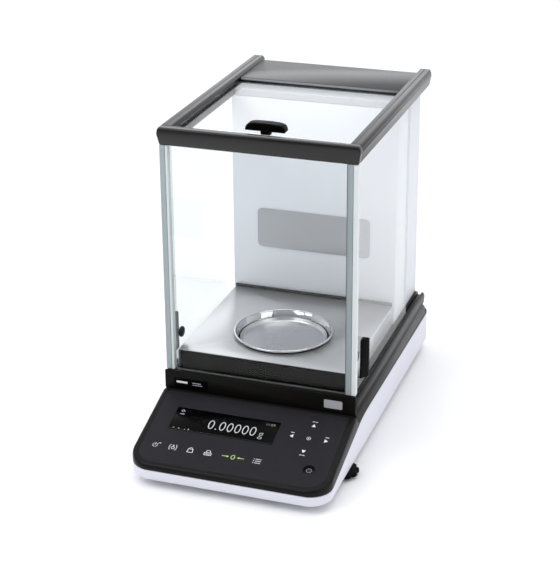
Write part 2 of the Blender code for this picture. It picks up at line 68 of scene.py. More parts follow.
def on_polyline(points, y):
    for (y0, z0), (y1, z1) in zip(points, points[1:]):
        if y <= y1:
            return z0 + (z1 - z0) * (y - y0) / (y1 - y0)
    return points[-1][1]


def parting(y):
    """Height of the line between white housing and black cover, its corners eased over 8 mm."""
    return sum(on_polyline(PARTING, y + step * 0.002) for step in range(-4, 5)) / 9


def panel_z(y):
    return PANEL_Z + math.tan(SLOPE) * (y - PANEL_Y)


# ------------------------------------------------------------------ materials
def linear(code):
    values = [int(code[i : i + 2], 16) / 255 for i in (0, 2, 4)]
    return [v / 12.92 if v <= 0.04045 else ((v + 0.055) / 1.055) ** 2.4 for v in values]


def node(tree, kind, inputs=None, **settings):
    made = tree.nodes.new(kind)
    for key, value in settings.items():
        setattr(made, key, value)
    for key, value in (inputs or {}).items():
        if isinstance(value, bpy.types.NodeSocket):
            tree.links.new(value, made.inputs[key])
        else:
            made.inputs[key].default_value = value
    return made


def surface(name, code, rough, metallic=0.0, tint=0.04, patch=14.0, spread=0.05, grain=1600.0,
            depth=0.00002, stretch=(1, 1, 1), rings=None, smudge=0.0, **fixed):
    """A Principled material whose colour drifts, whose gloss is uneven and whose grain stands up."""
    made = bpy.data.materials.new(name)
    made.use_nodes = True
    tree = made.node_tree
    shader = tree.nodes["Principled BSDF"]
    place = node(tree, "ShaderNodeTexCoord").outputs["Object"]
    colour = linear(code)
    cloud = node(tree, "ShaderNodeTexNoise", {"Vector": place, "Scale": patch, "Detail": 5.0})
    if rings:
        shifted = node(tree, "ShaderNodeVectorMath", {0: place, 1: rings}, operation="SUBTRACT")
        flat = node(tree, "ShaderNodeVectorMath", {0: shifted.outputs[0], 1: (1, 1, 0)}, operation="MULTIPLY")
        radius = node(tree, "ShaderNodeVectorMath", {0: flat.outputs[0]}, operation="LENGTH")
        turned_at = node(tree, "ShaderNodeVectorMath", {0: flat.outputs[0]}, operation="NORMALIZE")
        way = {0: turned_at.outputs[0], "Scale": 0.0016}
        soft = node(tree, "ShaderNodeVectorMath", way, operation="SCALE")
        lines = node(tree, "ShaderNodeCombineXYZ", {"Z": radius.outputs["Value"]})
        place = node(tree, "ShaderNodeVectorMath", {0: lines.outputs[0], 1: soft.outputs[0]}).outputs[0]
    else:
        place = node(tree, "ShaderNodeMapping", {"Vector": place, "Scale": stretch}).outputs[0]
    threads = {"Vector": place, "Scale": grain, "Detail": 3.0, "Roughness": 0.6}
    fine = node(tree, "ShaderNodeTexNoise", threads)
    both = node(tree, "ShaderNodeMath", {0: cloud.outputs["Fac"], 1: fine.outputs["Fac"]})
    drift = node(tree, "ShaderNodeMapRange", {"Value": both.outputs[0], "From Min": 0.6, "From Max": 1.4})
    low = [max(0.0, c * (1 - tint)) for c in colour] + [1.0]
    high = [min(1.0, c * (1 + tint)) for c in colour] + [1.0]
    mixed = node(tree, "ShaderNodeMix", {0: drift.outputs[0], 6: low, 7: high}, data_type="RGBA")
    tree.links.new(mixed.outputs[2], shader.inputs["Base Color"])
    gloss = both.outputs[0]
    if smudge:
        wipes = {"Vector": place, "Scale": 9.0, "Detail": 2.0, "Distortion": 1.2}
        wiped = node(tree, "ShaderNodeTexNoise", wipes)
        extra = node(tree, "ShaderNodeMath", {0: wiped.outputs["Fac"], 1: smudge}, operation="MULTIPLY")
        gloss = node(tree, "ShaderNodeMath", {0: gloss, 1: extra.outputs[0]}).outputs[0]
    bounds = {"Value": gloss, "From Min": 0.6, "From Max": 1.4}
    bounds.update({"To Min": max(0.01, rough - spread), "To Max": rough + spread})
    uneven = node(tree, "ShaderNodeMapRange", bounds)
    tree.links.new(uneven.outputs[0], shader.inputs["Roughness"])
    raised = node(tree, "ShaderNodeBump", {"Height": fine.outputs["Fac"], "Strength": 0.5, "Distance": depth})
    tree.links.new(raised.outputs[0], shader.inputs["Normal"])
    shader.inputs["Metallic"].default_value = metallic
    for socket, value in fixed.items():
        shader.inputs[socket.replace("_", " ")].default_value = value
    return made


GLASS_INDEX = 1.2


def see_through(name, code, clear=1.0):
    """Flat glass: light passes straight through it, and its two faces reflect by Fresnel."""
    made = bpy.data.materials.new(name)
    made.use_nodes = True
    tree = made.node_tree
    tree.nodes.remove(tree.nodes["Principled BSDF"])
    place = node(tree, "ShaderNodeTexCoord").outputs["Object"]
    haze = node(tree, "ShaderNodeTexNoise", {"Vector": place, "Scale": 6.0, "Detail": 4.0})
    film = node(tree, "ShaderNodeMapRange", {"Value": haze.outputs["Fac"], "To Min": 0.0, "To Max": 0.035})
    tinted = node(tree, "ShaderNodeBsdfTransparent", {"Color": [*linear(code), 1.0]})
    shine = node(tree, "ShaderNodeBsdfGlossy", {"Color": (1, 1, 1, 1), "Roughness": film.outputs[0]})
    # The node inverts the index on a back face; light leaves flat glass as it came in, so both faces match.
    back = node(tree, "ShaderNodeNewGeometry").outputs["Backfacing"]
    either = {"Value": back, "To Min": GLASS_INDEX, "To Max": 1 / GLASS_INDEX}
    index = node(tree, "ShaderNodeMapRange", either)
    fresnel = node(tree, "ShaderNodeFresnel", {"IOR": index.outputs[0]})
    layers = {0: fresnel.outputs[0], 1: tinted.outputs[0], 2: shine.outputs[0]}
    pane = node(tree, "ShaderNodeMixShader", layers)
    if clear < 1.0:
        body = node(tree, "ShaderNodeBsdfDiffuse", {"Color": [*linear(code), 1.0]})
        pane = node(tree, "ShaderNodeMixShader", {0: clear, 1: body.outputs[0], 2: pane.outputs[0]})
    tree.links.new(pane.outputs[0], tree.nodes["Material Output"].inputs["Surface"])
    return made


def glowing(name, code, strength):
    made = surface(name, code, 0.4, patch=300.0)
    shader = made.node_tree.nodes["Principled BSDF"]
    shader.inputs["Emission Color"].default_value = (*linear(code), 1.0)
    shader.inputs["Emission Strength"].default_value = strength
    return made


WHITE = surface("white_moulded", "e1e2ec", 0.42, tint=0.015, grain=2600.0, depth=0.000012)
TOWER_WHITE = surface("white_tower", "e9ebf1", 0.50, tint=0.012, grain=2600.0, depth=0.000012)
BLACK = surface("black_moulded", "121011", 0.34, tint=0.10, grain=2400.0, depth=0.000016,
                Specular_IOR_Level=0.14)
FRAME_BLACK = surface("black_frame", "151314", 0.24, tint=0.10, grain=2000.0, depth=0.000012,
                      stretch=(1, 0.2, 1), Specular_IOR_Level=0.42)
FASCIA = surface("fascia_black", "0c0b09", 0.30, tint=0.08, grain=2200.0, depth=0.000003,
                 Specular_IOR_Level=0.10)
TUB_BLACK = surface("chamber_black", "0f0e0b", 0.60, tint=0.08, grain=2200.0, depth=0.000003,
                    Specular_IOR_Level=0.08)
FILM = surface("panel_film", "1e1d22", 0.50, tint=0.05, grain=5200.0, depth=0.000010, smudge=0.08,
               Specular_IOR_Level=0.16)
KNOB = surface("knob_black", "080706", 0.42, tint=0.10, grain=2400.0, depth=0.000016,
               Specular_IOR_Level=0.05)
GREY = surface("grey_moulded", "b9bbc0", 0.50, tint=0.03)
# light grey painted highlight for the front face of the dark top cover
COVER_FRONT_HIGHLIGHT = surface("grey_painted_highlight", "9b9ca0", 0.50, tint=0.03)
DARK_GREY = surface("dark_cover", "333335", 0.28, tint=0.05, grain=2200.0, Specular_IOR_Level=0.45)
DISPLAY = surface("display_glass", "020202", 0.22, tint=0.3, depth=0.000001, smudge=0.05,
                  Specular_IOR_Level=0.05)
STEEL = surface("brushed_floor", "d0cfd0", 0.32, 0.80, tint=0.05, grain=1500.0, depth=0.000010,
                stretch=(0.02, 1, 1), smudge=0.06)
PAN_STEEL = surface("brushed_pan", "cac9cb", 0.30, 1.0, tint=0.06, grain=2600.0, depth=0.000008,
                    rings=(0, PAN_Y, 0))
POLISHED = surface("polished_ring", "cfcfd1", 0.07, 1.0, tint=0.02, spread=0.03, depth=0.000002)
LABEL = surface("label_metal", "b4b4b8", 0.46, 0.35, tint=0.04, grain=1800.0, stretch=(0.02, 1, 1))
ALUMINIUM = surface("machined_aluminium", "b9babd", 0.36, 1.0, tint=0.05, stretch=(1, 0.05, 1))
BRASS = surface("turned_brass", "c9a45c", 0.24, 1.0, tint=0.05, stretch=(1, 0.05, 0.05))
IRON = surface("plated_iron", "6d6e72", 0.40, 1.0, tint=0.08)
BOARD = surface("solder_mask", "1d5a36", 0.35, tint=0.18, patch=140.0)
RUBBER = surface("rubber", "161616", 0.75, tint=0.15, grain=1400.0, depth=0.00004)
SEAL = surface("seal_rubber", "2c2c2e", 0.6, tint=0.1)
PRINT = surface("print_white", "f0f0f2", 0.5, tint=0.05)
PRINT_DIM = surface("print_grey", "a9a9af", 0.5, tint=0.05)
PRINT_GREEN = surface("print_green", "c8ea92", 0.5, tint=0.05)
DIGITS = glowing("display_digits", "d2d2d4", 0.08)
CLOCK = glowing("display_clock", "b9a9a4", 0.1)
PANE = see_through("window_glass", "fdfefe")
PANE_EDGE = see_through("window_glass_edge", "e2e8e7", 0.85)
POST = see_through("corner_acrylic", "fafcfc")
# painted reflections: grey, white and dark bands standing in for what a clear corner bar reflects and bends
POST_GREY_REFLECTION = see_through("corner_grey_reflection", "c3cdd0", 0.45)
POST_WHITE_REFLECTION = see_through("corner_white_reflection", "f2f5f6", 0.25)
POST_DARK_REFLECTION = see_through("corner_dark_reflection", "78878a", 0.30)
LIQUID = surface("level_liquid", "131411", 0.15, tint=0.1, depth=0.0, Specular_IOR_Level=0.15)
BUBBLE = surface("level_bubble", "2c2e2a", 0.2, tint=0.05, depth=0.0, Specular_IOR_Level=0.2)


# ------------------------------------------------------------------ modelling helpers
def axes(x_axis, y_axis, origin=(0, 0, 0)):
    x_axis, y_axis = Vector(x_axis), Vector(y_axis)
    turn = Matrix((x_axis, y_axis, x_axis.cross(y_axis))).transposed().to_4x4()
    return Matrix.Translation(Vector(origin)) @ turn


PLANES = {
    "XY": axes((1, 0, 0), (0, 1, 0)),
    "XZ": axes((1, 0, 0), (0, 0, 1)),
    "YZ": axes((0, 1, 0), (0, 0, 1)),
    "PANEL": axes((1, 0, 0), (0, math.cos(SLOPE), math.sin(SLOPE)), (0, PANEL_Y, PANEL_Z)),
}


def arc(cx, cy, radius, start, end, steps):
    turns = [math.radians(start + (end - start) * i / steps) for i in range(steps + 1)]
    return [(cx + radius * math.cos(t), cy + radius * math.sin(t)) for t in turns]


def circle(cx, cy, radius, steps=64):
    return arc(cx, cy, radius, 0, 360 - 360 / steps, steps - 1)


def rounded(x0, x1, y0, y1, low_r, high_r, steps=12):
    return [
        *arc(x0 + low_r, y0 + low_r, low_r, 180, 270, steps),
        *arc(x1 - low_r, y0 + low_r, low_r, 270, 360, steps),
        *arc(x1 - high_r, y1 - high_r, high_r, 0, 90, steps),
        *arc(x0 + high_r, y1 - high_r, high_r, 90, 180, steps),
    ]


def rectangle(x0, x1, y0, y1):
    return [(x0, y0), (x1, y0), (x1, y1), (x0, y1)]


def stadium(cx, cy, half_length, radius, steps=24):
    right = arc(cx + half_length, cy, radius, -90, 90, steps)
    return right + arc(cx - half_length, cy, radius, 90, 270, steps)


def both_sides(points):
    return points + [(-x, z) for x, z in reversed(points)]


def place(name, mesh, matrix=None):
    made = bpy.data.objects.new(name, mesh)
    made.matrix_world = matrix or Matrix.Identity(4)
    bpy.context.scene.collection.objects.link(made)
    return made


def from_bmesh(name, shape, matrix=None):
    mesh = bpy.data.meshes.new(name)
    shape.to_mesh(mesh)
    shape.free()
    return place(name, mesh, matrix)


def evaluated_mesh(piece):
    bpy.context.view_layer.update()
    graph = bpy.context.evaluated_depsgraph_get()
    return bpy.data.meshes.new_from_object(piece.evaluated_get(graph))


def prism(name, plane, low, high, outline, holes=()):
    """A flat outline with holes, extruded from low to high across its plane."""
    curve = bpy.data.curves.new(name, "CURVE")
    curve.dimensions = "2D"
    curve.fill_mode = "BOTH"
    curve.extrude = (high - low) / 2
    for loop in (outline, *holes):
        spline = curve.splines.new("POLY")
        spline.points.add(len(loop) - 1)
        spline.use_cyclic_u = True
        for point, (u, v) in zip(spline.points, loop):
            point.co = (u, v, 0, 1)
    middle = (high + low) / 2
    matrix = PLANES[plane] @ Matrix.Translation((0, 0, -middle if plane == "XZ" else middle))
    drawn = place(name, curve, matrix)
    mesh = evaluated_mesh(drawn)
    bpy.data.objects.remove(drawn, do_unlink=True)
    bpy.data.curves.remove(curve)
    shape = bmesh.new()
    shape.from_mesh(mesh)
    bpy.data.meshes.remove(mesh)
    bmesh.ops.remove_doubles(shape, verts=shape.verts, dist=1e-7)
    bmesh.ops.recalc_face_normals(shape, faces=shape.faces)
    return from_bmesh(name, shape, matrix)


def box(name, x, y, z):
    shape = bmesh.new()
    bmesh.ops.create_cube(shape, size=1.0)
    bmesh.ops.scale(shape, vec=(x[1] - x[0], y[1] - y[0], z[1] - z[0]), verts=shape.verts)
    return from_bmesh(name, shape, Matrix.Translation(Vector((sum(x), sum(y), sum(z))) / 2))


def rod(name, radius, low, high, axis, centre, steps=48):
    shape = bmesh.new()
    size = {"radius1": radius, "radius2": radius, "depth": high - low}
    bmesh.ops.create_cone(shape, cap_ends=True, segments=steps, **size)
    middle = (low + high) / 2
    spot = {
        "X": (middle, *centre),
        "Y": (centre[0], middle, centre[1]),
        "Z": (*centre, middle),
    }[axis]
    turn = {
        "X": Matrix.Rotation(math.pi / 2, 4, "Y"),
        "Y": Matrix.Rotation(-math.pi / 2, 4, "X"),
        "Z": Matrix.Identity(4),
    }[axis]
    return from_bmesh(name, shape, Matrix.Translation(Vector(spot)) @ turn)


def lathe(name, profile, matrix, steps=128, knurl=None):
    """Profile of (radius, height) going down its outer side, turned about local Z. The knurl is
    (lowest radius, teeth, depth): points outside that radius follow a fine tooth pattern."""
    shape = bmesh.new()
    rings = []
    for radius, height in profile:
        if radius < 1e-7:
            rings.append([shape.verts.new((0, 0, height))])
            continue
        ring = []
        for i in range(steps):
            turn = 2 * math.pi * i / steps
            reach = radius
            if knurl and radius >= knurl[0]:
                reach -= knurl[2] * (0.5 + 0.5 * math.cos(turn * knurl[1])) ** 2
            ring.append(shape.verts.new((reach * math.cos(turn), reach * math.sin(turn), height)))
        rings.append(ring)
    for upper, lower in zip(rings, rings[1:]):
        for i in range(steps):
            j = (i + 1) % steps
            face = [upper[i % len(upper)], upper[j % len(upper)]]
            face += [lower[j % len(lower)], lower[i % len(lower)]]
            kept = list(dict.fromkeys(face))
            if len(kept) > 2:
                shape.faces.new(kept)
    bmesh.ops.recalc_face_normals(shape, faces=shape.faces)
    return from_bmesh(name, shape, matrix)


def modify(piece, tool, operation="DIFFERENCE"):
    """Applies a Boolean with tool, which is then removed."""
    step = piece.modifiers.new("cut", "BOOLEAN")
    step.operation = operation
    step.object = tool
    bake(piece)
    bpy.data.objects.remove(tool, do_unlink=True)
    return piece


def bake(piece):
    mesh = evaluated_mesh(piece)
    piece.modifiers.clear()
    piece.data = mesh


def finish(piece, look, body, *nodes, bevel=0.0, segments=3, angle=32):
    """Rounds the sharp edges, shades the piece, gives it its material and sets it on its body."""
    if bevel:
        shape = bmesh.new()
        shape.from_mesh(piece.data)
        bmesh.ops.remove_doubles(shape, verts=shape.verts, dist=2e-6)
        flat = math.radians(1.0)
        bmesh.ops.dissolve_limit(shape, angle_limit=flat, verts=shape.verts, edges=shape.edges)
        shape.to_mesh(piece.data)
        shape.free()
        rounding = piece.modifiers.new("edges", "BEVEL")
        rounding.width = bevel
        rounding.segments = segments
        rounding.limit_method = "ANGLE"
        rounding.angle_limit = math.radians(angle)
        rounding.use_clamp_overlap = True
        rounding.harden_normals = True
        piece.data.shade_smooth()
        bake(piece)
    piece.data.shade_smooth()
    piece.data.set_sharp_from_angle(angle=math.radians(angle))
    piece.data.materials.clear()
    piece.data.materials.append(look)
    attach(piece, body)
    if nodes:
        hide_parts(*nodes)
    return piece


def shell(name, plan, levels, caps=(True, True)):
    """Rings of one plan at several insets and heights, joined into a wall. A height may follow y."""
    shape = bmesh.new()
    rings = []
    for inset, height in levels:
        outline = plan(inset)
        rings.append([shape.verts.new((x, y, height(y) if callable(height) else height)) for x, y in outline])
    for lower, upper in zip(rings, rings[1:]):
        for i in range(len(lower)):
            j = (i + 1) % len(lower)
            shape.faces.new((lower[i], lower[j], upper[j], upper[i]))
    if caps[0]:
        shape.faces.new(list(reversed(rings[0])))
    if caps[1]:
        shape.faces.new(rings[-1])
    bmesh.ops.recalc_face_normals(shape, faces=shape.faces)
    return from_bmesh(name, shape)


def base_plan(inset):
    """Outline of the base, with points along its sides wherever a height may change."""
    half, front, rear = HALF_W - inset, FRONT + inset, REAR - inset
    low_r, high_r = max(FRONT_R - inset, 0.002), max(REAR_R - inset, 0.002)
    rows = [FRONT + FRONT_R + (REAR - REAR_R - FRONT - FRONT_R) * i / 150 for i in range(1, 150)]
    points = arc(-half + low_r, front + low_r, low_r, 180, 270, 24)
    points += arc(half - low_r, front + low_r, low_r, 270, 360, 24)
    points += [(half, y) for y in rows]
    points += arc(half - high_r, rear - high_r, high_r, 0, 90, 12)
    points += arc(-half + high_r, rear - high_r, high_r, 90, 180, 12)
    points += [(-half, y) for y in reversed(rows)]
    return points


def join(first, *others):
    """Merges meshes into the first object, in world space."""
    shape = bmesh.new()
    for piece in (first, *others):
        copy = piece.data.copy()
        copy.transform(piece.matrix_world)
        shape.from_mesh(copy)
        bpy.data.meshes.remove(copy)
    for piece in others:
        bpy.data.objects.remove(piece, do_unlink=True)
    shape.to_mesh(first.data)
    shape.free()
    first.matrix_world = Matrix.Identity(4)
    return first


# ------------------------------------------------------------------ camera, light and floor
def set_stage():
    lens = bpy.data.cameras.new("camera")
    camera = bpy.data.objects.new("camera", lens)
    bpy.context.scene.collection.objects.link(camera)
    camera.location = (0.4909, -1.4644, 0.8231)
    camera.rotation_euler = [math.radians(turn) for turn in (68.595, 0.430, 18.943)]
    lens.lens = 100.77
    lens.shift_x, lens.shift_y = 0.0106, -0.0991
    bpy.context.scene.camera = camera

    # A bright backdrop behind and above, and a dim room on the camera's side.
    world = bpy.data.worlds.new("studio")
    world.use_nodes = True
    tree = world.node_tree
    facing = node(tree, "ShaderNodeTexCoord").outputs["Generated"]
    toward = Vector((-0.25, 0.85, 0.45)).normalized()
    along = node(tree, "ShaderNodeVectorMath", {0: facing, 1: toward}, operation="DOT_PRODUCT")
    level = {"Value": along.outputs["Value"], "From Min": -0.6, "From Max": 0.7}
    level.update({"To Min": 0.33, "To Max": 1.05})
    strength = node(tree, "ShaderNodeMapRange", level)
    sky = tree.nodes["Background"]
    sky.inputs["Color"].default_value = (0.96, 0.97, 1.0, 1.0)
    tree.links.new(strength.outputs[0], sky.inputs["Strength"])
    bpy.context.scene.world = world
    lamps = [
        ("key", (-0.9, -1.1, 1.9), (1.5, 1.5), 17.0),
        ("fill", (1.7, -0.9, 1.2), (1.2, 1.6), 7.0),
        ("overhead", (0.3, 0.1, 2.1), (1.6, 1.2), 9.0),
        ("backdrop", (-0.8, 2.3, 1.25), (2.6, 1.2), 8.0),
    ]
    for name, spot, size, power in lamps:
        data = bpy.data.lights.new(name, "AREA")
        data.shape = "RECTANGLE"
        data.size, data.size_y = size
        data.energy = power
        lamp = bpy.data.objects.new(name, data)
        lamp.location = spot
        aim = Vector((0, 0, 0.15)) - Vector(spot)
        lamp.rotation_euler = aim.to_track_quat("-Z", "Y").to_euler()
        bpy.context.scene.collection.objects.link(lamp)

    shape = bmesh.new()
    bmesh.ops.create_grid(shape, x_segments=1, y_segments=1, size=6.0)
    floor = from_bmesh("floor", shape)
    floor.data.materials.append(surface("floor_paper", "fafafa", 0.9, tint=0.004))
    bpy.context.scene.view_settings.view_transform = "Standard"
    bpy.context.scene.view_settings.exposure = 0.0


# ------------------------------------------------------------------ base
def make_base():
    levels = [
        (WALL, 0.0110),
        (WALL, parting),
        (0.0007, parting),
        (0.0002, lambda y: parting(y) - 0.0002),
        (0.0, lambda y: parting(y) - 0.0007),
        (0.0, 0.0125),
        (0.0003, 0.0110),
        (0.0010, 0.0096),
        (0.0022, 0.0086),
        (0.0038, 0.0081),
        (0.0060, 0.0080),
    ]
    housing = shell("lower_housing_body", base_plan, levels)
    for side in ("left", "right"):
        low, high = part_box(f"{side}_foot_wheel")
        spot = ((low[0] + high[0]) / 2, (low[1] + high[1]) / 2)
        modify(housing, rod("hole", 0.0048, 0.0, 0.02, "Z", spot))
    modify(housing, box("hole", (0.0552, 0.0668), (0.195, 0.215), (0.0192, 0.0308)))
    modify(housing, box("hole", (-0.0623, -0.0497), (0.195, 0.215), (0.0197, 0.0313)))
    finish(housing, WHITE, "base", "lower_housing")

    def top(y):
        """Edge of the cover: the panel's slope, then down to the flange beside the cabinet."""
        if y < SLOPE_END:
            return panel_z(y)
        return max(FLANGE_TOP, panel_z(SLOPE_END) - (y - SLOPE_END) * FLANK_FALL)

    levels = [
        (WALL, lambda y: parting(y) + GAP),
        (0.0006, lambda y: parting(y) + GAP),
        (0.0001, lambda y: parting(y) + GAP + 0.0003),
        (0.0, lambda y: parting(y) + GAP + 0.0008),
        (0.0, lambda y: max(parting(y) + 0.0012, top(y) - 0.0032)),
        (0.0002, lambda y: max(parting(y) + 0.0015, top(y) - 0.0021)),
        (0.0007, lambda y: max(parting(y) + 0.0018, top(y) - 0.0011)),
        (0.0015, lambda y: max(parting(y) + 0.0021, top(y) - 0.0004)),
        (0.0026, lambda y: top(y) - 0.00005),
        (COVER_INSET, top),
        (COVER_INSET, lambda y: top(y) - 0.0015),
    ]
    skirt = shell("upper_cover_body", base_plan, levels, (False, False))
    slope = math.cos(SLOPE)
    outline = [(x, (y - PANEL_Y) / slope) for x, y in base_plan(COVER_INSET) if y < FASCIA_Y]
    start = max(range(len(outline)), key=lambda i: outline[i][1] * (outline[i][0] < 0))
    outline = outline[start:] + outline[:start]
    recess = rounded(-0.0988, 0.0988, 0.0027, 0.1038, 0.0183, 0.0020, 20)
    frame_top = prism("rim", "PANEL", -0.0030, 0.0, outline, [recess])
    # The flange is one slab across the whole base. The frame's own cover is hollow inside the track.
    around = [(x, y) for x, y in base_plan(COVER_INSET) if y > FLANGE_FRONT]
    steps = enumerate(zip(around, around[1:]), 1)
    split = next(i for i, (p, q) in steps if p[0] * q[0] < 0 and p[1] > 0)
    flange = prism("flange", "XY", FLANGE_LOW, FLANGE_TOP, around[split:] + around[:split])
    finish(join(skirt, frame_top, flange), BLACK, "base", "upper_cover", angle=40)

    profile = [
        (0.0953, 0.0700),
        (0.0953, 0.0790),
        (0.0975, 0.0790),
        (0.0975, 0.0724),
        (0.1021, 0.0724),
        (0.1021, 0.0765),
        (0.1030, 0.0768),
        (0.1039, 0.0763),
        (0.1046, 0.0748),
        (0.1050, 0.0724),
        (0.1050, 0.0692),
        (0.1047, 0.0666),
        (0.1042, 0.0654),
        (0.1046, 0.0647),
        (0.1046, 0.0637),
        (0.1036, 0.0622),
        (0.1034, 0.0492),
    ]
    deck = prism("track_deck", "XZ", -0.0983, TRACK_REAR, both_sides(profile))
    modify(deck, box("under", (-0.0915, 0.0915), (-0.0957, 0.1845), (0.030, 0.0735)))
    modify(deck, rod("stem", 0.0120, 0.070, 0.080, "Z", (0, PAN_Y)))
    trim = rounded(-0.11, TRACK_REAR - 0.0004, 0.030, 0.0791, 0.0001, 0.0095, 10)
    modify(deck, prism("trim", "YZ", -0.12, 0.12, trim), "INTERSECT")
    finish(deck, BLACK, "base", bevel=0.00045)
    shoulder = [
        (0.1033, 0.0610),
        (0.1038, 0.0605),
        (0.1044, 0.0590),
        (0.1050, 0.0562),
        (0.1054, 0.0532),
        (0.1057, 0.0500),
        (0.1058, 0.0484),
        (0.1033, 0.0484),
    ]
    for side, sign in (("left", -1), ("right", 1)):
        span = (-0.0985, TRACK_REAR + 0.0030)
        band = prism(f"{side}_shoulder", "XZ", *span, [(sign * x, z) for x, z in shoulder])
        trim = rounded(-0.11, span[1], 0.0450, 0.0611, 0.0001, 0.0090, 10)
        modify(band, prism("trim", "YZ", *sorted((sign * 0.10, sign * 0.11)), trim), "INTERSECT")
        finish(band, BLACK, "base", bevel=0.0003)
    sill = box("track_sill", (-0.1027, 0.1027), (-0.0980, -0.0910), (0.0715, 0.0797))
    finish(sill, BLACK, "base", bevel=0.0005)

    face = rounded(-0.1045, 0.1045, 0.0588, 0.0797, 0.0010, 0.0015, 6)
    trim = prism("fascia_face", "XZ", FASCIA_Y, FASCIA_Y + 0.0024, face)
    finish(trim, FASCIA, "base", "fascia_strip", bevel=0.0007, segments=4)
    plate = rounded(-0.0945, -0.0565, 0.0600, 0.0722, 0.0006, 0.0006, 4)
    finish(prism("fascia_plate", "XZ", FASCIA_Y - 0.00008, FASCIA_Y + 0.0002, plate), DISPLAY, "base")
    bars = [
        rounded(-0.0915, -0.0790, 0.0665, 0.0688, 0.0004, 0.0004, 3),
        rounded(-0.0735, -0.0640, 0.0677, 0.0687, 0.0003, 0.0003, 3),
        rounded(-0.0735, -0.0625, 0.0656, 0.0664, 0.0003, 0.0003, 3),
    ]
    for index, bar in enumerate(bars):
        mark = prism(f"fascia_mark_{index}", "XZ", FASCIA_Y - 0.00012, FASCIA_Y, bar)
        finish(mark, PRINT if index == 0 else PRINT_DIM, "base")
    sticker = rounded(0.0708, 0.0904, 0.0636, 0.0729, 0.0012, 0.0012, 5)
    finish(prism("fascia_sticker", "XZ", FASCIA_Y - 0.0001, FASCIA_Y + 0.0002, sticker), PRINT_DIM, "base")


# ------------------------------------------------------------------ control panel
def stroke(points, width):
    """Quads along a polyline, and a small disc at each of its points."""
    parts = []
    for (x0, y0), (x1, y1) in zip(points, points[1:]):
        long = math.hypot(x1 - x0, y1 - y0)
        if long < 1e-9:
            continue
        nx, ny = -(y1 - y0) / long * width / 2, (x1 - x0) / long * width / 2
        parts.append([(x0 + nx, y0 + ny), (x0 - nx, y0 - ny), (x1 - nx, y1 - ny), (x1 + nx, y1 + ny)])
    parts += [circle(x, y, width / 2, 10) for x, y in points]
    return parts


def printed(name, shapes, x, s, look, body, height=0.00005, scale=1.0):
    """Flat shapes in millimetres about a point of the panel, as one thin printed layer."""
    unit = scale / 1000
    shape = bmesh.new()
    for outline in shapes:
        shape.faces.new([shape.verts.new((x + u * unit, s + v * unit, height)) for u, v in outline])
    bmesh.ops.recalc_face_normals(shape, faces=shape.faces)
    for face in shape.faces:
        if face.normal.z < 0:
            face.normal_flip()
    piece = from_bmesh(name, shape, PLANES["PANEL"])
    finish(piece, look, body)


def lettered(name, text, x, s, size, look, body, height, narrow=1.0):
    data = bpy.data.curves.new(name, "FONT")
    data.body = text
    data.size = size
    data.resolution_u = 6
    data.offset = -0.019 * size
    data.space_character = 1.08
    flat = Matrix.Translation((x, s, height)) @ Matrix.Diagonal((narrow, 1, 1, 1))
    drawn = place(name, data, PLANES["PANEL"] @ flat)
    mesh = evaluated_mesh(drawn)
    matrix = drawn.matrix_world.copy()
    bpy.data.objects.remove(drawn, do_unlink=True)
    finish(place(name, mesh, matrix), look, body)


def panel_span(name):
    """The rectangle of a flat node on the panel, from its evaluated points."""
    turn = PLANES["PANEL"].inverted()
    points = [turn @ v.co for v in NODES[name].data.vertices]
    return (
        min(p.x for p in points),
        max(p.x for p in points),
        min(p.y for p in points),
        max(p.y for p in points),
    )


